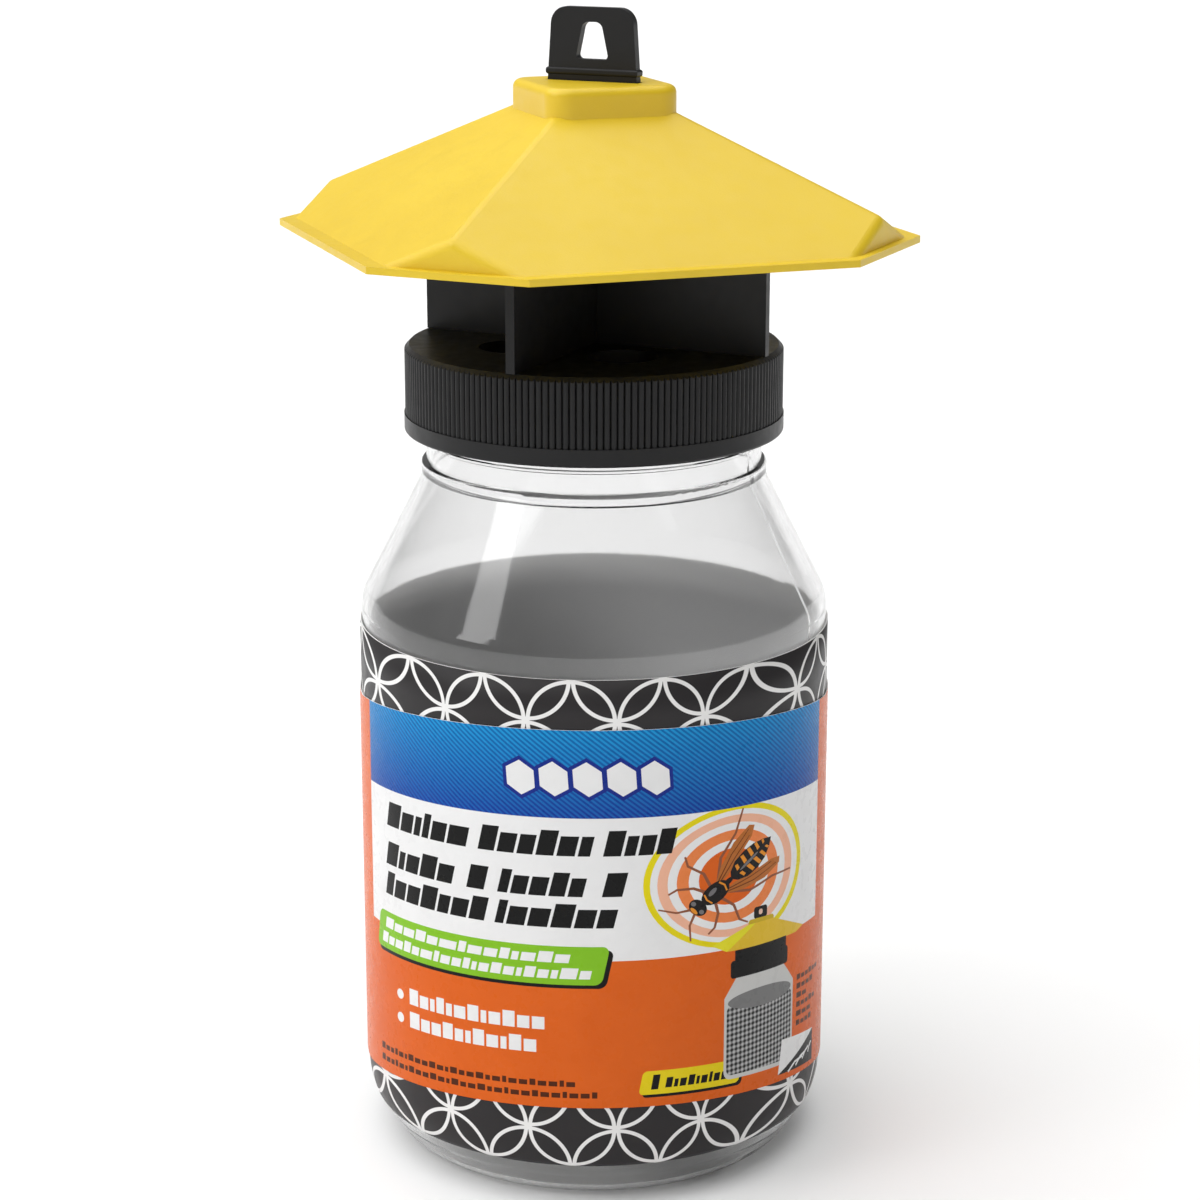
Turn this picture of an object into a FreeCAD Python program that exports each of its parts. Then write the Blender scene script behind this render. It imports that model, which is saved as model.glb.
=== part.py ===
import FreeCAD, Part
import math
import os

# Reusable hanging wasp trap: a clear screw-top jar, a vented cap, a cross of two slotted vanes
# and a roof on a hanger. Millimetres, +Z up, origin on the axis at the bottom of the jar.
# The vanes lie along X and Y, the hanger along X.

os.makedirs("parts", exist_ok=True)

# Jar
JAR_R = 45.4
JAR_WALL = 1.1
HEEL_Z = 10.0
HEEL_R = 18.0
FOOT_R = 39.0
FOOT_ROUND = 6.0
BASE_RING_R = 30.0
BASE_RING_ROUND = 4.0
BASE_DOME = 4.0
SHOULDER_Z = 110.65
SHOULDER_ROUND = 8.0
NECK_R = 32.4
NECK_ROOT_Z = 136.2
BEAD_R = 33.4
BEAD_LOW = 135.3
BEAD_HIGH = 137.3
LEDGE_R = 32.7
LEDGE_Z = 141.3
LIP_Z = 156.9

# Screw thread: one start, right-handed
LEAD = 4.233
THREAD_TURNS = 1.25
NECK_THREAD_Z = 148.6
NECK_THREAD_R = 33.9
CAP_THREAD_R = 33.0

# Cap
CAP_R = 36.5
CAP_LOW = 143.4
CAP_TOP = 160.0
CAP_BAND = 3.4
CAP_BORE_R = 34.5
DECK = 2.1
CAP_EDGE_ROUND = 0.9
RIBS = 180
RIB_R = 36.3
RIB_DEPTH = 0.5
ENTRY_R = 6.5
ENTRY_PITCH_R = 16.4
ENTRY_TUBE_LOW = 148.5
ENTRY_TUBE_WALL = 1.2

# Seal under the deck
SEAL_IN_R = 30.9
SEAL_OUT_R = 33.7

# Vanes
VANE_T = 1.8
VANE_R = 35.7
VANE_EDGE_Z = 193.9
VANE_SHOULDER_X = 14.4
VANE_SHOULDER_Z = 202.8
LAP_Z = 184.0
LAP_GAP = 0.05
TENON_IN = 24.0
TENON_OUT = 30.0
TENON_DROP = 5.0

# Hanger
HANG_TOP = 223.0
HANG_BASE_HALF = 9.3
HANG_TOP_HALF = 8.3
HANG_CORNER = 3.2
BEAD_HALF = 9.45
BEAD_THICK = 2.4
SNAP_LOW = 210.4
SNAP_HIGH = 211.8
KEY_LOW = 213.4
KEY_HIGH = 220.3
KEY_LOW_HALF = 3.4
KEY_HIGH_HALF = 1.9

# Roof
RIM_Z = 180.7
RIM_T = 1.3
RIM_FLAT = 53.4
RIM_CORNER = 59.6
ROOF_CORNER = 58.0
RIDGE_OUT_R = 58.0
RIDGE_OUT_Z = 187.4
RIDGE_IN_R = 17.3
RIDGE_IN_Z = 204.2
ROOF_WALL = 1.6
BOSS_HALF = 12.9
BOSS_ROUND = 4.2
BOSS_TOP = 209.4
BOSS_EDGE_ROUND = 1.6
ROOF_ROUND = 2.0
SLOT_GAP = 0.1

# Labels
SLEEVE_GAP = 0.1
SLEEVE_T = 0.3
SLEEVE_LOW = 8.7
SLEEVE_HIGH = 106.1
PEEL_GAP = 0.1
PEEL_T = 0.25
PEEL_LOW = 21.6
PEEL_HIGH = 96.6
PEEL_TOP_ARCH_R = 300.0
PEEL_LOW_ARCH_R = 200.0
PEEL_HALF_ANGLE = 95.0
FRONT_ANGLE = -65.0

# Bait sachet
SACHET_LENGTH = 52.0
SACHET_WIDTH = 38.0
SACHET_HEIGHT = 5.0
SACHET_SEAL = 5.0
SACHET_FILM = 0.8

V = FreeCAD.Vector
ORIGIN = V(0, 0, 0)
UP = V(0, 0, 1)


def outline(corners):
    """Closed profile in the XZ plane from (x, z, corner radius) points."""
    edges = []
    starts = []
    ends = []
    count = len(corners)
    for i in range(count):
        before = corners[i - 1]
        here = corners[i]
        after = corners[(i + 1) % count]
        p = V(here[0], 0, here[1])
        if here[2] == 0:
            starts.append(p)
            ends.append(p)
            continue
        a = (V(before[0], 0, before[1]) - p).normalize()
        b = (V(after[0], 0, after[1]) - p).normalize()
        half = a.getAngle(b) / 2
        reach = here[2] / math.tan(half)
        middle = (a + b).normalize() * (here[2] / math.sin(half) - here[2])
        starts.append(p + a * reach)
        ends.append(p + b * reach)
        edges.append(Part.Arc(p + a * reach, p + middle, p + b * reach).toShape())
    for i in range(count):
        start = ends[i]
        end = starts[(i + 1) % count]
        if start.distanceToPoint(end) > 1e-6:
            edges.append(Part.makeLine(start, end))
    return Part.Wire(Part.__sortEdges__(edges))


def turned(corners):
    """Solid of revolution about Z."""
    return Part.Face(outline(corners)).revolve(ORIGIN, UP, 360)


def plate(corners, thickness):
    """Flat plate in the XZ plane, centred on Y."""
    face = Part.Face(outline(corners))
    face.translate(V(0, -thickness / 2, 0))
    return face.extrude(V(0, thickness, 0))


def block(x0, x1, y0, y1, z0, z1):
    return Part.makeBox(x1 - x0, y1 - y0, z1 - z0, V(x0, y0, z0))


def diagonal_block(half, z0, z1):
    """Square prism with its corners on X and Y."""
    solid = block(-half, half, -half, half, z0, z1)
    solid.rotate(ORIGIN, UP, 45)
    return solid


def thread(root_r, crest_r, root_width, crest_width, z):
    """Ridge of the screw thread, centred on height z where it starts on +X."""
    path = Part.Wire(Part.makeHelix(LEAD, LEAD * THREAD_TURNS, root_r))
    corners = [(root_r, -root_width / 2), (root_r, root_width / 2)]
    corners += [(crest_r, crest_width / 2), (crest_r, -crest_width / 2)]
    points = [V(r, 0, h) for r, h in corners]
    profile = Part.makePolygon(points + points[:1])
    ridge = Part.Solid(path.makePipeShell([profile], True, True))
    ridge.translate(V(0, 0, z))
    return ridge


def save(name, shape):
    shape.exportStep("parts/" + name + ".step")


# Jar: blown bottle with a domed base, round heel, conical shoulder and threaded neck
wall = JAR_WALL
heel_tilt = math.atan2(JAR_R - FOOT_R, HEEL_Z)
heel_rise = wall * math.tan(heel_tilt / 2)
heel_shift = wall * math.tan((math.pi / 2 - heel_tilt) / 2)
jar_outside = [
    (0, BASE_DOME, 0),
    (BASE_RING_R, 0, BASE_RING_ROUND),
    (FOOT_R, 0, FOOT_ROUND),
    (JAR_R, HEEL_Z, HEEL_R),
    (JAR_R, SHOULDER_Z, SHOULDER_ROUND),
    (NECK_R + 0.55, BEAD_LOW - 0.2, 0),
    (BEAD_R, BEAD_LOW, 0.4),
    (BEAD_R, BEAD_HIGH, 0.6),
    (NECK_R, BEAD_HIGH + 0.3, 0),
    (NECK_R, LEDGE_Z, 0),
    (LEDGE_R, LEDGE_Z + 0.2, 0),
    (LEDGE_R, LEDGE_Z + 0.6, 0),
    (NECK_R, LEDGE_Z + 0.8, 0),
    (NECK_R, LIP_Z, 0.4),
    (0, LIP_Z, 0),
]
jar_inside = [
    (0, BASE_DOME + wall, 0),
    (BASE_RING_R, wall, BASE_RING_ROUND),
    (FOOT_R - heel_shift, wall, FOOT_ROUND - wall),
    (JAR_R - wall, HEEL_Z + heel_rise, HEEL_R - wall),
    (JAR_R - wall, SHOULDER_Z - 0.25, SHOULDER_ROUND - wall),
    (NECK_R - wall, NECK_ROOT_Z - 0.25, 3.0),
    (NECK_R - wall, LIP_Z + 1, 0),
    (0, LIP_Z + 1, 0),
]
jar = turned(jar_outside)
jar = jar.fuse(thread(NECK_R - 0.4, NECK_THREAD_R, 2.4, 1.0, NECK_THREAD_Z))
jar = jar.cut(turned(jar_inside)).removeSplitter()

# Cap: ribbed skirt with a plain lower band, a flat deck and four short entry tubes
step = 2 * math.pi / RIBS
groove_r = RIB_R - RIB_DEPTH
rib_edges = []
for i in range(RIBS):
    a = i * step
    low = V(groove_r * math.cos(a), groove_r * math.sin(a), 0)
    crest = V(RIB_R * math.cos(a + step / 2), RIB_R * math.sin(a + step / 2), 0)
    high = V(groove_r * math.cos(a + step), groove_r * math.sin(a + step), 0)
    rib_edges.append(Part.Arc(low, crest, high).toShape())
ribbed = Part.Face(Part.Wire(rib_edges)).extrude(V(0, 0, CAP_TOP - CAP_LOW - CAP_BAND))
ribbed.translate(V(0, 0, CAP_LOW + CAP_BAND))
envelope = turned([
    (0, CAP_LOW + CAP_BAND, 0),
    (CAP_R + 1, CAP_LOW + CAP_BAND, 0),
    (CAP_R + 1, CAP_TOP - CAP_EDGE_ROUND - CAP_R + RIB_R - 1, 0),
    (RIB_R - CAP_EDGE_ROUND, CAP_TOP, 0),
    (0, CAP_TOP, 0),
])
ribbed = ribbed.common(envelope)
band = turned([
    (0, CAP_LOW, 0),
    (CAP_R, CAP_LOW, 0.5),
    (CAP_R, CAP_LOW + CAP_BAND, 0),
    (0, CAP_LOW + CAP_BAND, 0),
])
hollow = Part.makeCylinder(CAP_BORE_R, CAP_TOP - DECK - CAP_LOW + 1, V(0, 0, CAP_LOW - 1))
cap = ribbed.fuse(band).cut(hollow)
cap_thread = thread(CAP_BORE_R + 0.4, CAP_THREAD_R, 2.2, 0.9, NECK_THREAD_Z - LEAD / 2)
cap = cap.fuse(cap_thread)
entry_reach = ENTRY_PITCH_R / math.sqrt(2)
tube_height = CAP_TOP - 0.5 - ENTRY_TUBE_LOW
for sx, sy in ((1, 1), (-1, 1), (-1, -1), (1, -1)):
    foot = V(sx * entry_reach, sy * entry_reach, ENTRY_TUBE_LOW)
    cap = cap.fuse(Part.makeCylinder(ENTRY_R + ENTRY_TUBE_WALL, tube_height, foot))
for sx, sy in ((1, 1), (-1, 1), (-1, -1), (1, -1)):
    foot = V(sx * entry_reach, sy * entry_reach, ENTRY_TUBE_LOW - 1)
    cap = cap.cut(Part.makeCylinder(ENTRY_R, CAP_TOP - ENTRY_TUBE_LOW + 2, foot))
slot_y = VANE_T / 2 + LAP_GAP
slot_z = CAP_TOP - DECK - 1
for side in (1, -1):
    x0 = min(side * TENON_IN, side * TENON_OUT) - LAP_GAP
    x1 = max(side * TENON_IN, side * TENON_OUT) + LAP_GAP
    cap = cap.cut(block(x0, x1, -slot_y, slot_y, slot_z, CAP_TOP + 1))
    cap = cap.cut(block(-slot_y, slot_y, x0, x1, slot_z, CAP_TOP + 1))
cap = cap.removeSplitter()

# Seal: soft flat ring squeezed between the lip and the deck
deck_low = CAP_TOP - DECK
seal = Part.makeCylinder(SEAL_OUT_R, deck_low - LIP_Z, V(0, 0, LIP_Z))
seal = seal.cut(Part.makeCylinder(SEAL_IN_R, deck_low - LIP_Z, V(0, 0, LIP_Z)))

# Vanes: two plates lapped into a cross, with tenons through the deck
rest_z = BOSS_TOP - ROOF_WALL
vane_corners = [
    (-VANE_R, CAP_TOP, 0),
    (VANE_R, CAP_TOP, 0),
    (VANE_R, VANE_EDGE_Z, 0.8),
    (VANE_SHOULDER_X, VANE_SHOULDER_Z, 0),
    (VANE_SHOULDER_X, rest_z, 0.8),
    (-VANE_SHOULDER_X, rest_z, 0.8),
    (-VANE_SHOULDER_X, VANE_SHOULDER_Z, 0),
    (-VANE_R, VANE_EDGE_Z, 0.8),
]
vane = plate(vane_corners, VANE_T)
for side in (1, -1):
    x0 = min(side * TENON_IN, side * TENON_OUT)
    x1 = x0 + TENON_OUT - TENON_IN
    vane = vane.fuse(block(x0, x1, -VANE_T / 2, VANE_T / 2, CAP_TOP - TENON_DROP, CAP_TOP))
vane = vane.removeSplitter()
lap = VANE_T / 2 + LAP_GAP
cross_vane = vane.cut(block(-lap, lap, -VANE_T, VANE_T, LAP_Z, rest_z + 1))
cross_vane.rotate(ORIGIN, UP, 90)

# Hanger: the long vane runs up through the roof and ends in a keyhole above a snap bead
blade = plate([
    (-HANG_BASE_HALF, rest_z, 0),
    (HANG_BASE_HALF, rest_z, 0),
    (HANG_TOP_HALF, HANG_TOP, HANG_CORNER),
    (-HANG_TOP_HALF, HANG_TOP, HANG_CORNER),
], VANE_T)
plug = block(-BEAD_HALF, BEAD_HALF, -BEAD_THICK / 2, BEAD_THICK / 2, rest_z, BOSS_TOP - 0.1)
snap_half = (SNAP_HIGH - SNAP_LOW) / 2
snap = block(-BEAD_HALF, BEAD_HALF, -BEAD_THICK / 2, BEAD_THICK / 2, SNAP_LOW, SNAP_HIGH)
snap_edges = [e for e in snap.Edges if abs(e.Vertexes[0].Z - e.Vertexes[-1].Z) < 1e-6]
snap = snap.makeFillet(snap_half * 0.7, snap_edges)
keyhole = plate([
    (-KEY_LOW_HALF, KEY_LOW, 0.8),
    (KEY_LOW_HALF, KEY_LOW, 0.8),
    (KEY_HIGH_HALF, KEY_HIGH, 1.5),
    (-KEY_HIGH_HALF, KEY_HIGH, 1.5),
], VANE_T * 3)
hanger_vane = vane.cut(block(-lap, lap, -VANE_T, VANE_T, CAP_TOP - 1, LAP_Z))
hanger_vane = hanger_vane.fuse(blade).fuse(plug).fuse(snap).cut(keyhole).removeSplitter()

# Roof: square pyramid with cut corners, a thin rim and a rounded boss
slope = (RIDGE_IN_Z - RIDGE_OUT_Z) / (RIDGE_OUT_R - RIDGE_IN_R)


def pyramid(drop, corner, low, high):
    """Four-sided pyramid frustum with its ridges over X and Y, lowered by drop and cut at the corners."""
    rings = []
    for z in (low, high):
        r = RIDGE_IN_R + (RIDGE_IN_Z - drop - z) / slope
        points = [V(r, 0, z), V(0, r, z), V(-r, 0, z), V(0, -r, z)]
        rings.append(Part.makePolygon(points + points[:1]))
    solid = Part.makeLoft(rings, True, True)
    return solid.common(block(-corner, corner, -corner, corner, low, high))


rim_top = RIM_Z + RIM_T
shell = pyramid(0, ROOF_CORNER, RIM_Z, RIDGE_IN_Z + 2)
outer_edges = []
for e in shell.Edges:
    a = e.Vertexes[0].Point
    b = e.Vertexes[-1].Point
    if max(a.z, b.z) > rim_top + 2 and min(a.z, b.z) < RIDGE_IN_Z + 1:
        outer_edges.append(e)
shell = shell.makeFillet(ROOF_ROUND, outer_edges)
boss = diagonal_block(BOSS_HALF, RIDGE_IN_Z - 6, BOSS_TOP)
boss_corners = [e for e in boss.Edges if abs(e.Vertexes[0].Z - e.Vertexes[-1].Z) > 1]
boss = boss.makeFillet(BOSS_ROUND, boss_corners)
boss_brim = [e for e in boss.Edges if min(v.Z for v in e.Vertexes) > BOSS_TOP - 0.1]
boss = boss.makeFillet(BOSS_EDGE_ROUND, boss_brim)
rim = diagonal_block(RIM_FLAT, RIM_Z, rim_top)
rim = rim.common(block(-RIM_CORNER, RIM_CORNER, -RIM_CORNER, RIM_CORNER, RIM_Z, rim_top))
shell_top = shell.common(diagonal_block(60, RIM_Z, RIDGE_IN_Z))
roof = shell_top.fuse(rim).fuse(boss)
inner_drop = ROOF_WALL * math.sqrt(1 + 2 * slope * slope)
hollow_low = RIM_Z - 1
roof_hollow = pyramid(inner_drop, ROOF_CORNER - ROOF_WALL, hollow_low, RIDGE_IN_Z - 1)
boss_hollow = diagonal_block(BOSS_HALF - ROOF_WALL, RIDGE_IN_Z - 10, rest_z)
boss_hollow_edges = [e for e in boss_hollow.Edges if abs(e.Vertexes[0].Z - e.Vertexes[-1].Z) > 1]
boss_hollow = boss_hollow.makeFillet(BOSS_ROUND - ROOF_WALL, boss_hollow_edges)
slot_x = BEAD_HALF + SLOT_GAP
slot_half = BEAD_THICK / 2 + SLOT_GAP
slot = block(-slot_x, slot_x, -slot_half, slot_half, rest_z - 1, BOSS_TOP + 1)
roof = roof.cut(roof_hollow).cut(boss_hollow).cut(slot).removeSplitter()

# Sleeve label: film shrunk round the body and over the top of the heel
s_in = JAR_R + SLEEVE_GAP
s_out = s_in + SLEEVE_T


def wrap(gap, high):
    """Solid the shape of the jar's side, larger by gap all round."""
    foot = (FOOT_R + gap * math.tan((math.pi / 2 - heel_tilt) / 2), -gap, 0)
    heel = (JAR_R + gap, HEEL_Z - gap * math.tan(heel_tilt / 2), HEEL_R + gap)
    return turned([(0, -gap, 0), foot, heel, (JAR_R + gap, high, 0), (0, high, 0)])


sleeve = wrap(SLEEVE_GAP + SLEEVE_T, SLEEVE_HIGH).cut(wrap(SLEEVE_GAP, SLEEVE_HIGH + 1))
sleeve = sleeve.cut(Part.makeCylinder(JAR_R + 5, SLEEVE_LOW + 5, V(0, 0, -5)))

# Peel label: printed film over the front half of the sleeve, with arched top and bottom edges
p_in = s_out + PEEL_GAP
p_out = p_in + PEEL_T
peel_foot = PEEL_LOW - 10
peel_height = PEEL_HIGH - peel_foot
peel = Part.makeCylinder(p_out, peel_height, V(0, 0, peel_foot), UP, 2 * PEEL_HALF_ANGLE)
peel = peel.cut(Part.makeCylinder(p_in, peel_height + 2, V(0, 0, peel_foot - 1)))
peel.rotate(ORIGIN, UP, -PEEL_HALF_ANGLE)
top_arch = Part.makeCylinder(PEEL_TOP_ARCH_R, 120, V(-60, 0, PEEL_HIGH - PEEL_TOP_ARCH_R), V(1, 0, 0))
low_arch = Part.makeCylinder(PEEL_LOW_ARCH_R, 120, V(-60, 0, PEEL_LOW - PEEL_LOW_ARCH_R), V(1, 0, 0))
peel = peel.common(top_arch).cut(low_arch)
peel.rotate(ORIGIN, UP, FRONT_ANGLE)

# Bait sachet: sealed pouch lying on the domed floor
floor_z = BASE_DOME + wall + 0.05
pouch_x = SACHET_LENGTH / 2
pouch_y = SACHET_WIDTH / 2
pouch = block(-pouch_x, pouch_x, -pouch_y, pouch_y, floor_z, floor_z + SACHET_HEIGHT)
pouch = pouch.makeFillet(SACHET_HEIGHT / 2 - 0.1, pouch.Edges)
film_x = pouch_x + SACHET_SEAL
film_z = floor_z + SACHET_HEIGHT / 2 - SACHET_FILM / 2
film = block(-film_x, film_x, -pouch_y, pouch_y, film_z, film_z + SACHET_FILM)
sachet = pouch.fuse(film).removeSplitter()

save("jar", jar)
save("sleeve_label", sleeve)
save("peel_label", peel)
save("bait_sachet", sachet)
save("seal_ring", seal)
save("screw_cap", cap)
save("hanger_vane", hanger_vane)
save("cross_vane", cross_vane)
save("roof", roof)
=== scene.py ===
import bmesh
import bpy
import math
from mathutils.geometry import delaunay_2d_cdt
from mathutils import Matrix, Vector


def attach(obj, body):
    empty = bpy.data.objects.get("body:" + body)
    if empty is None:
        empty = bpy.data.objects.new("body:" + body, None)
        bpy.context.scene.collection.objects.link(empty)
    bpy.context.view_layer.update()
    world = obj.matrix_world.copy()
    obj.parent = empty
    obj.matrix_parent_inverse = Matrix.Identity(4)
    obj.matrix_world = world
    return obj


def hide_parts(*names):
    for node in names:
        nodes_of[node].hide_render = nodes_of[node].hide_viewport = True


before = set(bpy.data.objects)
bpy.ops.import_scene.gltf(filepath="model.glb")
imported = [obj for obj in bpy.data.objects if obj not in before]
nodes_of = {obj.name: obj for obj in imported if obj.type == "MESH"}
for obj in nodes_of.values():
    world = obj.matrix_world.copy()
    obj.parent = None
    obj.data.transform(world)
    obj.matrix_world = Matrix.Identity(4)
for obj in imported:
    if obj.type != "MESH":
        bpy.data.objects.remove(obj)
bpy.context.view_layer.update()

MM = 0.001
FRONT = math.radians(-65.0)
CAMERA_TURN = 25.2
TOWARDS_CAMERA = math.radians(CAMERA_TURN - 90.0)

# in millimetres, as in the CAD
JAR_R = 45.4
HEEL_Z = 10.0
HEEL_R = 18.0
FOOT_R = 39.0
SLEEVE_LOW = 8.9
SLEEVE_HIGH = 106.1
SLEEVE_FACE_GAP = 0.40
SLEEVE_BACK_GAP = 0.12
SLEEVE_SIDES = 288
LABEL_R = 46.0

# the sleeve's pattern: circles round half the jar, and the height of one row in metres
PATTERN_HALF = 17.0
PATTERN_ROW = 0.0081

# camera, in metres and degrees
CAMERA_REACH = 0.5675
CAMERA_HEIGHT = 0.26677
CAMERA_DOWN = 15.58

INK_SPREAD = 5
AIM_POINT = (0, 0, 0.12)

# ---------------------------------------------------------------- camera
cam_data = bpy.data.cameras.new("camera")
cam_data.sensor_width = 36.0
cam_data.lens = 90.12
cam_data.shift_x = 0.005
cam = bpy.data.objects.new("camera", cam_data)
bpy.context.collection.objects.link(cam)
turn = math.radians(CAMERA_TURN)
cam.location = (CAMERA_REACH * math.sin(turn), -CAMERA_REACH * math.cos(turn), CAMERA_HEIGHT)
cam.rotation_euler = (math.radians(90 - CAMERA_DOWN), 0.0, turn)
bpy.context.scene.camera = cam


# ---------------------------------------------------------------- helpers
def srgb(r, g, b):
    out = []
    for c in (r, g, b):
        c = c / 255.0
        out.append(c / 12.92 if c <= 0.04045 else ((c + 0.055) / 1.055) ** 2.4)
    return (out[0], out[1], out[2], 1.0)


class Nodes:
    """Short way to build a node tree."""

    def __init__(self, name):
        self.mat = bpy.data.materials.new(name)
        self.mat.use_nodes = True
        self.tree = self.mat.node_tree
        self.tree.nodes.clear()
        self.out = self.tree.nodes.new("ShaderNodeOutputMaterial")
        self.place = 0

    def add(self, kind, **settings):
        node = self.tree.nodes.new(kind)
        self.place -= 180
        node.location = (self.place, 0)
        for key, value in settings.items():
            setattr(node, key, value)
        return node

    def put(self, socket, value):
        if hasattr(value, "links"):
            self.tree.links.new(value, socket)
        else:
            socket.default_value = value

    def math(self, op, a, b=0.0):
        node = self.add("ShaderNodeMath", operation=op)
        self.put(node.inputs[0], a)
        self.put(node.inputs[1], b)
        return node.outputs[0]

    def where(self):
        return self.add("ShaderNodeTexCoord").outputs["Object"]

    def round_axis(self, ahead=0.0):
        """Angle round the axis, counted from the direction ahead, and the height."""
        turned = self.add("ShaderNodeVectorRotate", rotation_type="Z_AXIS")
        turned.inputs["Angle"].default_value = -ahead
        self.put(turned.inputs["Vector"], self.where())
        split = self.add("ShaderNodeSeparateXYZ")
        self.put(split.inputs[0], turned.outputs[0])
        return self.math("ARCTAN2", split.outputs[1], split.outputs[0]), split.outputs[2]

    def noise(self, scale, detail=3.0, rough=0.5, vector=None):
        node = self.add("ShaderNodeTexNoise")
        node.inputs["Scale"].default_value = scale
        node.inputs["Detail"].default_value = detail
        node.inputs["Roughness"].default_value = rough
        self.put(node.inputs["Vector"], vector if vector is not None else self.where())
        return node.outputs["Fac"]

    def ramp(self, value, low, high, to_low=0.0, to_high=1.0, smooth=False):
        node = self.add("ShaderNodeMapRange")
        if smooth:
            node.interpolation_type = "SMOOTHSTEP"
        self.put(node.inputs["Value"], value)
        node.inputs["From Min"].default_value = low
        node.inputs["From Max"].default_value = high
        node.inputs["To Min"].default_value = to_low
        node.inputs["To Max"].default_value = to_high
        return node.outputs[0]

    def mix(self, fac, a, b):
        node = self.add("ShaderNodeMix", data_type="RGBA")
        self.put(node.inputs["Factor"], fac)
        self.put(node.inputs[6], a)
        self.put(node.inputs[7], b)
        return node.outputs[2]

    def bump(self, height, strength, distance):
        node = self.add("ShaderNodeBump")
        node.inputs["Strength"].default_value = strength
        node.inputs["Distance"].default_value = distance
        self.put(node.inputs["Height"], height)
        return node.outputs["Normal"]

    def principled(self, **values):
        node = self.add("ShaderNodeBsdfPrincipled")
        for key, value in values.items():
            self.put(node.inputs[key.replace("_", " ")], value)
        self.tree.links.new(node.outputs[0], self.out.inputs["Surface"])
        return node


def mesh_object(name, verts, faces, mats, picks=None, smooth=True):
    mesh = bpy.data.meshes.new(name)
    mesh.from_pydata(verts, [], faces)
    for m in mats:
        mesh.materials.append(m)
    if picks is not None:
        mesh.polygons.foreach_set("material_index", picks)
    mesh.polygons.foreach_set("use_smooth", [smooth] * len(faces))
    mesh.validate()
    obj = bpy.data.objects.new(name, mesh)
    bpy.context.collection.objects.link(obj)
    return obj


def paint(node, mat):
    for s in nodes_of[node].material_slots:
        s.material = mat


# ---------------------------------------------------------------- materials
def yellow_plastic():
    n = Nodes("yellow_plastic")
    broad = n.noise(25.0, 2.0)
    colour = n.mix(n.ramp(broad, 0.35, 0.65), srgb(215, 182, 24), srgb(220, 188, 30))
    grain = n.noise(2600.0, 2.0, 0.6)
    rough = n.ramp(n.noise(300.0, 3.0), 0.3, 0.7, 0.36, 0.46)
    normal = n.bump(grain, 0.35, 0.00006)
    n.principled(Base_Color=colour, Roughness=rough, Normal=normal)
    return n.mat


def black_plastic():
    n = Nodes("black_plastic")
    colour = n.mix(n.noise(60.0, 3.0), srgb(22, 22, 23), srgb(27, 27, 28))
    grain = n.noise(3200.0, 2.0, 0.6)
    rough = n.ramp(n.noise(400.0, 3.0), 0.3, 0.7, 0.34, 0.44)
    normal = n.bump(grain, 0.25, 0.00004)
    n.principled(Base_Color=colour, Roughness=rough, Normal=normal, Specular_IOR_Level=0.24)
    return n.mat


def clear_pet():
    """Glass-clear plastic that lets the lamps' light through to what is inside."""
    n = Nodes("clear_pet")
    tint = (0.90, 0.90, 0.90, 1)
    glass = n.principled(Base_Color=tint, Roughness=0.05, IOR=1.52, Transmission_Weight=1.0)
    through = n.add("ShaderNodeBsdfTransparent")
    through.inputs["Color"].default_value = (0.97, 0.97, 0.97, 1)
    mixed = n.add("ShaderNodeMixShader")
    n.put(mixed.inputs[0], n.add("ShaderNodeLightPath").outputs["Is Shadow Ray"])
    n.put(mixed.inputs[1], glass.outputs[0])
    n.put(mixed.inputs[2], through.outputs[0])
    n.put(n.out.inputs["Surface"], mixed.outputs[0])
    return n.mat


def sleeve_film():
    """Rows of overlapping circles; the film is stretched a little to both sides of the front."""
    n = Nodes("sleeve_film")
    around, height = n.round_axis(TOWARDS_CAMERA)
    even = n.math("MULTIPLY", around, PATTERN_HALF / math.pi)
    right = n.ramp(around, math.radians(30), math.radians(64), 0.0, 1.0, True)
    left = n.ramp(around, math.radians(-85), math.radians(-40), 1.0, 0.0, True)
    stretched = n.math("SUBTRACT", n.math("ADD", even, left), right)
    x = n.math("ADD", stretched, 200.0 - 5.3 * PATTERN_HALF / 180.0)
    y = n.math("ADD", n.math("DIVIDE", height, PATTERN_ROW), 101.0 - 0.098 / PATTERN_ROW)
    fx = n.math("FRACT", x)
    fy = n.math("FRACT", y)
    odd = n.math("MODULO", n.math("ADD", n.math("FLOOR", x), n.math("FLOOR", y)), 2.0)
    gx = n.math("ABSOLUTE", n.math("SUBTRACT", odd, fx))

    def ring(px, py):
        square = n.math("ADD", n.math("MULTIPLY", px, px), n.math("MULTIPLY", py, py))
        return n.math("ABSOLUTE", n.math("SUBTRACT", n.math("SQRT", square), 0.955))

    opposite = ring(n.math("SUBTRACT", 1.0, gx), n.math("SUBTRACT", 1.0, fy))
    nearest = n.math("MINIMUM", ring(gx, fy), opposite)
    line = n.ramp(nearest, 0.040, 0.050, 1.0, 0.0, True)
    mottled = n.noise(90.0, 3.0)
    black = n.mix(mottled, srgb(44, 42, 43), srgb(50, 48, 49))
    white = n.mix(mottled, srgb(226, 225, 224), srgb(234, 233, 232))
    rough = n.ramp(n.noise(500.0, 3.0), 0.3, 0.7, 0.30, 0.40)
    fine = n.bump(n.noise(70.0, 3.0), 0.06, 0.0003)
    colour = n.mix(line, black, white)
    n.principled(Base_Color=colour, Roughness=rough, Normal=fine, Specular_IOR_Level=0.14)
    return n.mat


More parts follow.
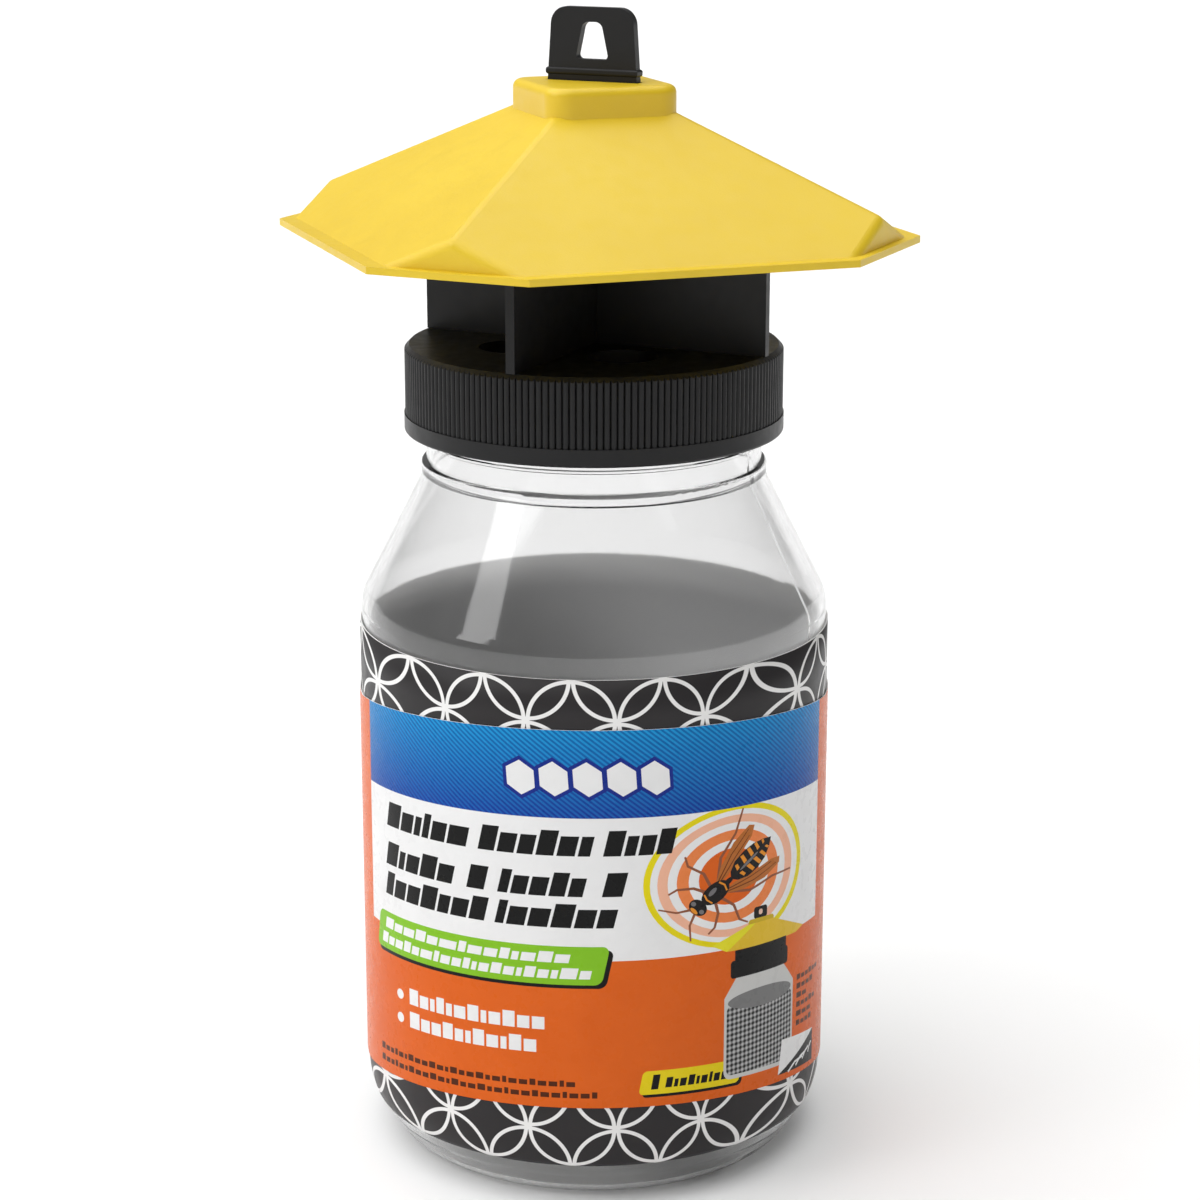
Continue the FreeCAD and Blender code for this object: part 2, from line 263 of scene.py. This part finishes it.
def film_back():
    n = Nodes("film_back")
    colour = n.mix(n.noise(60.0, 3.0), srgb(242, 242, 242), srgb(248, 248, 248))
    rough = n.ramp(n.noise(300.0, 3.0), 0.3, 0.7, 0.35, 0.5)
    n.principled(Base_Color=colour, Roughness=rough)
    return n.mat


def ink(name, rgb):
    """Printed label film in one colour, a little uneven as real ink is."""
    n = Nodes("ink_" + name)
    low = srgb(*[max(0, c - INK_SPREAD) for c in rgb])
    high = srgb(*[min(255, c + INK_SPREAD) for c in rgb])
    colour = n.mix(n.noise(120.0, 4.0), low, high)
    rough = n.ramp(n.noise(450.0, 3.0), 0.3, 0.7, 0.24, 0.34)
    fine = n.bump(n.noise(55.0, 3.0), 0.08, 0.0003)
    n.principled(Base_Color=colour, Roughness=rough, Normal=fine, Specular_IOR_Level=0.1)
    return n.mat


def ink_blue():
    """Blue band: lighter towards the top, with fine slanted lines."""
    n = Nodes("ink_blue")
    around, z = n.round_axis(FRONT)
    s = n.math("MULTIPLY", around, LABEL_R * MM)
    bend = n.math("MULTIPLY", n.math("MULTIPLY", s, s), 0.95)
    height = n.math("ADD", z, bend)
    up = n.ramp(height, 0.0795, 0.0965)
    slant = n.math("ADD", n.math("MULTIPLY", s, 800.0), n.math("MULTIPLY", height, 1000.0))
    wave = n.math("ABSOLUTE", n.math("SUBTRACT", n.math("FRACT", n.math("ADD", slant, 500.0)), 0.5))
    lines = n.ramp(wave, 0.17, 0.33, 0.0, 1.0, True)
    dark = n.mix(up, srgb(18, 52, 140), srgb(10, 100, 165))
    light = n.mix(up, srgb(24, 84, 165), srgb(28, 145, 205))
    rough = n.ramp(n.noise(450.0, 3.0), 0.3, 0.7, 0.24, 0.34)
    fine = n.bump(n.noise(55.0, 3.0), 0.06, 0.0003)
    n.principled(Base_Color=n.mix(lines, dark, light), Roughness=rough, Normal=fine, Specular_IOR_Level=0.1)
    return n.mat


def ink_weave():
    """Tiny check that stands for the patterned sleeve in the little picture."""
    n = Nodes("ink_weave")
    around, z = n.round_axis()
    s = n.math("MULTIPLY", around, LABEL_R * MM)
    a = n.math("SINE", n.math("MULTIPLY", n.math("ADD", s, z), 3000.0))
    b = n.math("SINE", n.math("MULTIPLY", n.math("SUBTRACT", s, z), 3000.0))
    check = n.ramp(n.math("MULTIPLY", a, b), -0.5, 0.9)
    rough = n.ramp(n.noise(450.0, 3.0), 0.3, 0.7, 0.24, 0.34)
    colour = n.mix(check, srgb(45, 45, 45), srgb(190, 190, 190))
    n.principled(Base_Color=colour, Roughness=rough, Specular_IOR_Level=0.1)
    return n.mat


def plain(name, rgb, roughness):
    n = Nodes(name)
    low = srgb(*[max(0, c - 4) for c in rgb])
    colour = n.mix(n.noise(80.0, 3.0), low, srgb(*rgb))
    rough = n.ramp(n.noise(300.0), 0.3, 0.7, roughness - 0.05, roughness + 0.05)
    n.principled(Base_Color=colour, Roughness=rough)
    return n.mat


yellow = yellow_plastic()
black = black_plastic()
pet = clear_pet()
paint("roof", yellow)
for part in ("screw_cap", "hanger_vane", "cross_vane"):
    paint(part, black)
paint("jar", pet)
paint("seal_ring", plain("seal_foam", (225, 225, 220), 0.8))
paint("bait_sachet", plain("sachet_film", (228, 228, 222), 0.4))

# ---------------------------------------------------------------- sleeve label
HEEL_TILT = math.atan2(JAR_R - FOOT_R, HEEL_Z)


def sleeve_profile(gap, low, high):
    """(radius, z) up the jar's side, gap millimetres off its wall, in millimetres."""
    bend = HEEL_R + gap
    centre_z = HEEL_Z - gap * math.tan(HEEL_TILT / 2) + bend * math.tan(HEEL_TILT / 2)
    points = []
    steps = 10
    for i in range(steps):
        z = low + (centre_z - low) * i / steps
        points.append((JAR_R - HEEL_R + math.sqrt(bend ** 2 - (centre_z - z) ** 2), z))
    for i in range(13):
        points.append((JAR_R + gap, centre_z + (high - centre_z) * i / 12))
    return points


def sleeve_label():
    outer = sleeve_profile(SLEEVE_FACE_GAP, SLEEVE_LOW, SLEEVE_HIGH)
    inner = sleeve_profile(SLEEVE_BACK_GAP, SLEEVE_LOW, SLEEVE_HIGH)
    loop = outer + inner[::-1]
    verts = []
    faces = []
    picks = []
    for i in range(SLEEVE_SIDES):
        a = 2 * math.pi * i / SLEEVE_SIDES
        for r, z in loop:
            verts.append((r * math.cos(a) * MM, r * math.sin(a) * MM, z * MM))
    count = len(loop)
    for i in range(SLEEVE_SIDES):
        j = (i + 1) % SLEEVE_SIDES
        for k in range(count):
            m = (k + 1) % count
            faces.append((i * count + k, j * count + k, j * count + m, i * count + m))
            picks.append(0 if k < len(outer) - 1 else 1)
    obj = mesh_object("sleeve", verts, faces, [sleeve_film(), film_back()], picks)
    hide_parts("sleeve_label")
    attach(obj, "jar_body")


sleeve_label()


# ---------------------------------------------------------------- peel label
def oval(cx, cy, rx, ry, tilt=0.0, count=28):
    c = math.cos(math.radians(tilt))
    s = math.sin(math.radians(tilt))
    points = []
    for i in range(count):
        a = 2 * math.pi * i / count
        x = rx * math.cos(a)
        y = ry * math.sin(a)
        points.append((cx + x * c - y * s, cy + x * s + y * c))
    return points


def slab(x0, y0, x1, y1, lean=0.0):
    """Box leaning to the right by lean at its top."""
    return [(x0, y0), (x1, y0), (x1 + lean, y1), (x0 + lean, y1)]


def round_slab(x0, y0, x1, y1, r, lean=0.0, count=6):
    points = []
    corners = ((x1 - r, y0 + r, -90), (x1 - r, y1 - r, 0), (x0 + r, y1 - r, 90), (x0 + r, y0 + r, 180))
    for cx, cy, start in corners:
        for i in range(count + 1):
            a = math.radians(start + 90.0 * i / count)
            y = cy + r * math.sin(a)
            points.append((cx + r * math.cos(a) + lean * (y - y0) / (y1 - y0), y))
    return points


def stroke(points, width, tip=None):
    """Ribbon along points, narrowing to tip."""
    tip = width if tip is None else tip
    left = []
    right = []
    last = len(points) - 1
    for i, (x, y) in enumerate(points):
        x0, y0 = points[max(0, i - 1)]
        x1, y1 = points[min(last, i + 1)]
        length = math.hypot(x1 - x0, y1 - y0)
        w = (width + (tip - width) * i / last) / 2
        nx = -(y1 - y0) / length * w
        ny = (x1 - x0) / length * w
        left.append((x + nx, y + ny))
        right.append((x - nx, y - ny))
    return left + right[::-1]


art = []


def draw(ink_name, points):
    turning = sum(points[i - 1][0] * p[1] - p[0] * points[i - 1][1] for i, p in enumerate(points))
    art.append((ink_name, points if turning > 0 else points[::-1]))


def blocks(ink_name, x0, x1, y, height, widths, lean, gap=0.55):
    """A word of plain blocks between x0 and x1; they are not letters."""
    total = sum(widths)
    room = (x1 - x0) - gap * (len(widths) - 1)
    x = x0
    for i, w in enumerate(widths):
        w = room * w / total
        tall = height if i % 3 else height * 1.28
        draw(ink_name, slab(x, y, x + w, y + tall, lean * tall / height))
        x += w + gap


def label_art():
    # ground, panel and target
    draw("orange", slab(-76, 21.6, 76, 96.6))
    draw("white", slab(-55.6, 51.4, 56.6, 80.0))
    cx, cy = 28.0, 66.0
    draw("ring_yellow", oval(cx + 0.6, cy, 19.3, 14.2, count=56))
    draw("white", oval(cx + 0.5, cy, 17.9, 13.1, count=56))
    draw("peach", oval(cx + 0.2, cy, 16.2, 12.1, count=52))
    draw("white", oval(cx, cy, 14.0, 10.6, count=48))
    draw("ring_orange", oval(cx - 0.2, cy, 12.0, 9.2, count=44))
    draw("white", oval(cx - 0.4, cy, 9.4, 7.2, count=40))
    draw("orange", oval(cx - 0.7, cy, 7.0, 5.6, count=36))
    draw("orange", slab(-76, 40.0, 76, 51.4))
    draw("blue", slab(-55.6, 79.6, 56.6, 96.6))

    # a plain row of honeycomb cells
    for i in range(5):
        cell_x = -13.6 + 6.3 * i
        draw("outline", oval(cell_x, 87.2, 3.75, 4.35, 30.0, 6))
        draw("white", oval(cell_x, 87.2, 2.95, 3.5, 30.0, 6))

    # heading, as plain blocks
    blocks("black", -47.6, -25.0, 72.2, 3.9, (3, 2.4, 1.2, 1.2, 2.4, 3), 0.9)
    blocks("black", -22.4, -0.6, 72.2, 3.9, (2.4, 2.4, 2.2, 2.4, 2.4, 1.6), 0.9)
    blocks("black", 1.8, 14.8, 72.2, 3.9, (2.8, 1.8, 2.4, 2.6), 0.9)
    blocks("black", -48.2, -28.4, 64.2, 3.7, (2.6, 1.2, 2.4, 2.6, 2.4), 0.9)
    blocks("black", -25.0, -21.2, 64.2, 3.7, (2.4,), 0.9)
    blocks("black", -18.4, -2.0, 64.2, 3.7, (1.6, 2.4, 2.6, 2.4, 2.2), 0.9)
    blocks("black", 1.6, 5.4, 64.2, 3.7, (2.4,), 0.9)
    blocks("black", -48.6, -21.2, 58.0, 3.7, (1.8, 2.4, 2.4, 2.6, 1.8, 2.4, 2.2), 0.9)
    blocks("black", -19.0, 3.8, 58.0, 3.7, (1.2, 2.4, 2.6, 2.6, 2.4, 2.2), 0.9)

    # green badge
    draw("black", round_slab(-52.2, 45.9, 2.4, 53.6, 1.4, 1.6))
    draw("green", round_slab(-53.0, 46.6, 1.6, 54.3, 1.4, 1.6))
    badge = (2.2, 2, 2.4, 2, 2, 3, 1.2, 2.2, 2, 1.4, 1, 2, 2, 2)
    blocks("white", -49.0, -4.6, 51.0, 1.7, badge, 0.4, 0.5)
    blocks("white", -50.6, -0.6, 47.8, 1.7, badge + (1, 2, 2, 1.2, 3, 2), 0.4, 0.5)

    # two bulleted lines
    bullet_one = (2.2, 2, 1, 1.6, 1.2, 2.2, 2, 1, 2, 2, 2, 2)
    bullet_two = (2.4, 2, 2, 2, 1.6, 1, 2, 2, 1, 2, 2)
    for y, x1, widths in ((37.4, -9.2, bullet_one), (32.7, -10.8, bullet_two)):
        draw("white", oval(-43.6, y + 1.3, 1.15, 1.0, count=18))
        blocks("white", -40.4, x1, y, 2.5, widths, 0.0, 0.5)

    # small print
    fine = (2, 2, 1.6, 1.2, 2, 1, 2, 2, 2, 2, 2, 1, 2, 1.6, 2, 2, 1.2, 2, 1, 2, 2, 1.4, 2, 2, 1, 2)
    blocks("fine", -52.0, -3.4, 25.9, 1.0, fine, 0.0, 0.45)
    blocks("fine", -52.0, 0.8, 23.6, 1.0, fine + (2, 1.2), 0.0, 0.45)

    # yellow badge
    draw("black", round_slab(9.2, 23.4, 30.4, 28.2, 0.9, 0.9))
    draw("badge", round_slab(8.6, 24.0, 29.8, 28.8, 0.9, 0.9))
    draw("black", slab(11.0, 25.0, 12.4, 28.0, 0.5))
    blocks("black", 13.8, 28.6, 25.2, 1.6, (2, 1.2, 2, 2, 1, 2, 1, 2, 2, 2), 0.3, 0.4)

    # little picture of the trap
    draw("pic_black", round_slab(33.2, 56.2, 36.8, 58.6, 0.6))
    draw("pic_hole", round_slab(34.5, 56.9, 35.5, 58.0, 0.4))
    draw("pic_edge", round_slab(31.8, 54.3, 38.8, 56.3, 0.6))
    draw("pic_left", [(23.2, 52.6), (26.6, 50.9), (33.6, 55.4), (31.8, 55.4)])
    draw("pic_front", [(26.6, 50.9), (46.6, 50.6), (49.6, 51.4), (38.6, 55.4), (33.6, 55.4)])
    draw("pic_black", slab(28.6, 48.3, 43.0, 50.8))
    draw("pic_black", round_slab(27.6, 45.2, 43.6, 48.8, 0.7))
    draw("pic_glass", [(28.9, 45.2), (42.4, 45.2), (45.8, 41.4), (45.8, 39.6), (26.2, 39.6), (26.2, 41.4)])
    draw("pic_glass", round_slab(26.2, 24.9, 45.8, 41.6, 1.6))
    draw("weave", round_slab(26.8, 25.7, 45.2, 39.8, 1.2))
    draw("pic_inside", oval(36.0, 40.3, 9.0, 1.9, count=32))

    # side note and the printed lifted corner
    for i, w in enumerate((11.0, 8.0, 4.5, 9.5, 7.0, 7.5)):
        blocks("fine", 47.4, 47.4 + w, 40.6 - 1.85 * i, 0.85, (2,) * max(2, int(w / 1.8)), 0.0, 0.4)
    draw("pic_black", [(41.0, 22.9), (56.2, 22.6), (56.2, 28.9)])
    for k in range(4):
        bow = [(44.6 + 3 * k, 22.8 + 0.6 * k), (47.2 + 2.4 * k, 24.2 + 0.5 * k)]
        bow.append((50.6 + 1.6 * k, 24.6 + 0.6 * k))
        draw("white", stroke(bow, 0.45))
    draw("white", [(41.0, 22.9), (56.2, 28.9), (42.2, 29.8)])


def wasp_art():
    """A plain wasp seen from above, drawn along a slanting line, head down to the left."""
    ox, oy, tilt = 27.0, 65.2, 38.0
    c = math.cos(math.radians(tilt))
    s = math.sin(math.radians(tilt))

    def at(points):
        return [(ox + 1.2 * (x * c - y * s), oy + x * s + y * c) for x, y in points]

    for side in (1, -1):
        for leg in (
            [(-4.2, 1.0), (-5.4, 3.6), (-7.6, 5.4), (-9.2, 5.6)],
            [(-3.2, 1.2), (-2.4, 4.6), (-3.4, 7.8), (-2.6, 9.6)],
            [(-2.0, 1.0), (1.6, 4.8), (6.6, 6.6), (10.6, 9.4)],
        ):
            draw("leg", at(stroke([(x, y * side) for x, y in leg], 0.62, 0.36)))
        feeler = [(-8.4, 0.6), (-10.4, 1.8), (-12.2, 4.4)]
        draw("leg", at(stroke([(x, y * side) for x, y in feeler], 0.5, 0.3)))
        wing = [(-2.8, 0.9), (0.6, 3.4), (5.2, 5.4), (9.4, 5.8)]
        wing += [(10.2, 4.9), (8.4, 3.6), (4.4, 2.4), (0.4, 1.0)]
        draw("wing", at([(x, y * side) for x, y in wing]))
        for vein in ([(-2.0, 1.2), (3.4, 3.8), (8.8, 5.2)], [(-1.6, 1.0), (3.6, 2.8), (8.2, 4.1)]):
            draw("vein", at(stroke([(x, y * side) for x, y in vein], 0.26, 0.16)))
    tail = [(0.4, 0.0), (1.2, 1.2), (3.0, 2.2), (5.4, 2.5), (7.8, 2.1), (9.8, 1.1), (11.2, 0.0)]
    draw("bug", at(tail + [(x, -y) for x, y in tail[-2:0:-1]]))
    bands = ((2.2, 1.5, 0.7), (4.0, 2.1, 0.8), (5.8, 2.2, 0.8), (7.5, 1.9, 0.7), (9.0, 1.2, 0.55))
    for x, half, width in bands:
        for side in (1, -1):
            band = [(x, 0.35 * side), (x + 0.3, half * side)]
            band += [(x + width + 0.2, (half - 0.1) * side), (x + width, 0.45 * side)]
            draw("bug_band", at(band))
    draw("bug", at(oval(-0.2, 0.0, 1.1, 0.55, count=16)))
    draw("bug", at(oval(-3.2, 0.0, 2.9, 1.9, count=26)))
    draw("bug_band", at(stroke([(-1.5, -1.2), (-1.1, 0.0), (-1.5, 1.2)], 0.34)))
    draw("bug_band", at(stroke([(-4.9, -1.2), (-5.2, 0.0), (-4.9, 1.2)], 0.3)))
    draw("shine", at(oval(-3.5, 0.55, 1.0, 0.45, 10, 14)))
    draw("bug", at(oval(-7.2, 0.0, 1.35, 1.9, count=22)))
    draw("bug_band", at(oval(-8.1, 0.0, 0.35, 0.9, count=12)))
    for side in (1, -1):
        draw("shine", at(oval(-7.3, 1.15 * side, 0.42, 0.5, count=12)))
    draw("shine", at(oval(5.0, 0.0, 2.4, 0.28, count=14)))


def on_label(s, t, r):
    """Point on the curved label from the distance round it and its height, in millimetres."""
    reach = min(abs(s), BOW_REACH)
    z = t - 0.5 * (BOW + BOW_GROWTH * (t - BOW_MIDDLE) ** 2) * reach * reach
    a = FRONT + s / LABEL_R
    return (r * math.cos(a) * MM, r * math.sin(a) * MM, z * MM)


INKS = {
    "orange": (212, 95, 28),
    "white": (226, 226, 226),
    "ring_yellow": (222, 206, 20),
    "peach": (232, 176, 148),
    "ring_orange": (226, 128, 72),
    "outline": (24, 44, 130),
    "black": (22, 22, 22),
    "green": (126, 184, 38),
    "fine": (78, 38, 18),
    "badge": (222, 200, 28),
    "pic_black": (26, 26, 26),
    "pic_hole": (226, 190, 170),
    "pic_edge": (196, 166, 40),
    "pic_left": (222, 214, 44),
    "pic_front": (218, 182, 50),
    "pic_glass": (196, 196, 194),
    "pic_inside": (120, 120, 120),
    "leg": (138, 84, 60),
    "wing": (176, 104, 48),
    "vein": (110, 58, 26),
    "bug": (30, 28, 28),
    "bug_band": (222, 140, 44),
    "shine": (112, 110, 112),
}

# how far the label's ends bow down
BOW = 0.0016
BOW_GROWTH = 6.5e-7
BOW_MIDDLE = 65.0
BOW_REACH = 62.0

PEEL_HALF = 76.0
PEEL_LOW = 21.6
PEEL_HIGH = 96.6
PEEL_FACE_R = 46.12
PEEL_BACK_R = 45.92
COLUMNS = 76
ROWS = 5


def grid_s(i):
    return -PEEL_HALF + 2 * PEEL_HALF * i / COLUMNS


def grid_t(k):
    return PEEL_LOW + (PEEL_HIGH - PEEL_LOW) * k / ROWS


def printed_face():
    """Triangles of the printed side, cut along every outline of the art."""
    points = []
    loops = []
    edges = []
    for _, outline in art:
        start = len(points)
        points += [Vector(p) for p in outline]
        loops.append(list(range(start, len(points))))
    for i in range(1, COLUMNS):
        edges.append((len(points), len(points) + 1))
        points += [Vector((grid_s(i), PEEL_LOW)), Vector((grid_s(i), PEEL_HIGH))]
    for k in range(1, ROWS):
        edges.append((len(points), len(points) + 1))
        points += [Vector((-PEEL_HALF, grid_t(k))), Vector((PEEL_HALF, grid_t(k)))]
    flat, _, tris, _, _, origins = delaunay_2d_cdt(points, edges, loops, 1, 1e-5)
    verts = [on_label(p.x, p.y, PEEL_FACE_R) for p in flat]
    faces = []
    tops = []
    for tri, origin in zip(tris, origins):
        if not origin:
            continue
        a, b, c = (flat[i] for i in tri)
        turned_over = (b - a).cross(c - a) < 0
        faces.append(tuple(reversed(tri)) if turned_over else tuple(tri))
        tops.append(art[max(origin)][0])
    return verts, faces, tops


def film_body(start):
    """Back and edges of the film, as vertices and faces counted from start."""
    verts = []
    faces = []
    for i in range(COLUMNS + 1):
        for k in range(ROWS + 1):
            verts.append(on_label(grid_s(i), grid_t(k), PEEL_BACK_R))
            verts.append(on_label(grid_s(i), grid_t(k), PEEL_FACE_R))

    def back(i, k):
        return start + 2 * (i * (ROWS + 1) + k)

    for i in range(COLUMNS):
        for k in range(ROWS):
            faces.append((back(i, k), back(i, k + 1), back(i + 1, k + 1), back(i + 1, k)))
        for k, flip in ((0, False), (ROWS, True)):
            edge = (back(i, k), back(i + 1, k), back(i + 1, k) + 1, back(i, k) + 1)
            faces.append(edge[::-1] if flip else edge)
    for k in range(ROWS):
        for i, flip in ((0, True), (COLUMNS, False)):
            edge = (back(i, k), back(i, k + 1), back(i, k + 1) + 1, back(i, k) + 1)
            faces.append(edge[::-1] if flip else edge)
    return verts, faces


def peel_label():
    label_art()
    # the wasp is printed over the target, and the little picture over the wasp
    picture = next(i for i, a in enumerate(art) if a[0] == "pic_black")
    above = art[picture:]
    del art[picture:]
    wasp_art()
    art.extend(above)
    names = ["blue", "weave"] + list(INKS)
    mats = [ink_blue(), ink_weave()] + [ink(k, INKS[k]) for k in INKS] + [film_back()]
    verts, faces, tops = printed_face()
    picks = [names.index(top) for top in tops]
    body_verts, body_faces = film_body(len(verts))
    picks += [len(names)] * len(body_faces)
    obj = mesh_object("peel_label_print", verts + body_verts, faces + body_faces, mats, picks)
    mesh = obj.data
    work = bmesh.new()
    work.from_mesh(mesh)
    bmesh.ops.remove_doubles(work, verts=work.verts, dist=1e-6)
    loose = [v for v in work.verts if not v.link_faces]
    bmesh.ops.delete(work, geom=loose, context="VERTS")
    work.to_mesh(mesh)
    work.free()
    normals = []
    for poly in mesh.polygons:
        printed = poly.material_index < len(names)
        for li in poly.loop_indices:
            v = mesh.vertices[mesh.loops[li].vertex_index].co
            normals.append(Vector((v.x, v.y, 0.0)).normalized() if printed else poly.normal.copy())
    mesh.normals_split_custom_set(normals)
    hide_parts("peel_label")
    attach(obj, "jar_body")


peel_label()


# ---------------------------------------------------------------- floor, world and lights
def floor_material():
    n = Nodes("floor")
    colour = n.mix(n.noise(6.0, 3.0), (0.89, 0.89, 0.89, 1), (0.91, 0.91, 0.91, 1))
    n.principled(Base_Color=colour, Roughness=0.7, Specular_IOR_Level=0.2)
    return n.mat


FLOOR_HALF = 60.0
FLOOR_Z = -0.0001
corners = [(x * FLOOR_HALF, y * FLOOR_HALF, FLOOR_Z) for x, y in ((-1, -1), (1, -1), (1, 1), (-1, 1))]
floor = mesh_object("floor", corners, [(0, 1, 2, 3)], [floor_material()], smooth=False)


def studio_world():
    """Soft surroundings: a white horizon, and a sky that is dimmer towards the camera's right."""
    world = bpy.data.worlds.new("studio")
    world.use_nodes = True
    tree = world.node_tree
    where = tree.nodes.new("ShaderNodeTexCoord")
    across = tree.nodes.new("ShaderNodeVectorMath")
    across.operation = "DOT_PRODUCT"
    across.inputs[1].default_value = (math.cos(turn), math.sin(turn), 0.0)
    dim = tree.nodes.new("ShaderNodeMapRange")
    dim.inputs["From Min"].default_value = -1.0
    dim.inputs["From Max"].default_value = 1.0
    dim.inputs["To Min"].default_value = 0.44
    dim.inputs["To Max"].default_value = 0.14
    split = tree.nodes.new("ShaderNodeSeparateXYZ")
    horizon = tree.nodes.new("ShaderNodeMapRange")
    horizon.interpolation_type = "SMOOTHSTEP"
    horizon.inputs["From Min"].default_value = 0.01
    horizon.inputs["From Max"].default_value = 0.11
    horizon.inputs["To Min"].default_value = 1.05
    horizon.inputs["To Max"].default_value = 0.0
    brighter = tree.nodes.new("ShaderNodeMath")
    brighter.operation = "MAXIMUM"
    background = tree.nodes["Background"]
    background.inputs["Color"].default_value = (1, 1, 1, 1)
    tree.links.new(where.outputs["Generated"], across.inputs[0])
    tree.links.new(across.outputs["Value"], dim.inputs["Value"])
    tree.links.new(where.outputs["Generated"], split.inputs[0])
    tree.links.new(split.outputs[2], horizon.inputs["Value"])
    tree.links.new(dim.outputs[0], brighter.inputs[0])
    tree.links.new(horizon.outputs[0], brighter.inputs[1])
    tree.links.new(brighter.outputs[0], background.inputs["Strength"])
    bpy.context.scene.world = world


studio_world()


def aim(name, data, azimuth, elevation, distance):
    """Lamp at a distance from the middle of the trap, turned towards it."""
    obj = bpy.data.objects.new(name, data)
    bpy.context.collection.objects.link(obj)
    a = math.radians(azimuth)
    e = math.radians(elevation)
    out = Vector((math.sin(a) * math.cos(e), -math.cos(a) * math.cos(e), math.sin(e)))
    obj.location = Vector(AIM_POINT) + out * distance
    obj.rotation_euler = out.to_track_quat("Z", "Y").to_euler()


def softbox(name, azimuth, elevation, distance, size, power):
    data = bpy.data.lights.new(name, "AREA")
    data.shape = "RECTANGLE"
    data.size = size[0]
    data.size_y = size[1]
    data.energy = power
    aim(name, data, azimuth, elevation, distance)


sky = bpy.data.lights.new("sky", "SUN")
sky.energy = 3.25
sky.angle = math.radians(90)
aim("sky", sky, -70, 74, 2.0)
softbox("key", -37, 32, 1.1, (0.31, 0.62), 1.6)

bpy.context.scene.view_settings.view_transform = "Standard"
bpy.context.scene.view_settings.look = "None"
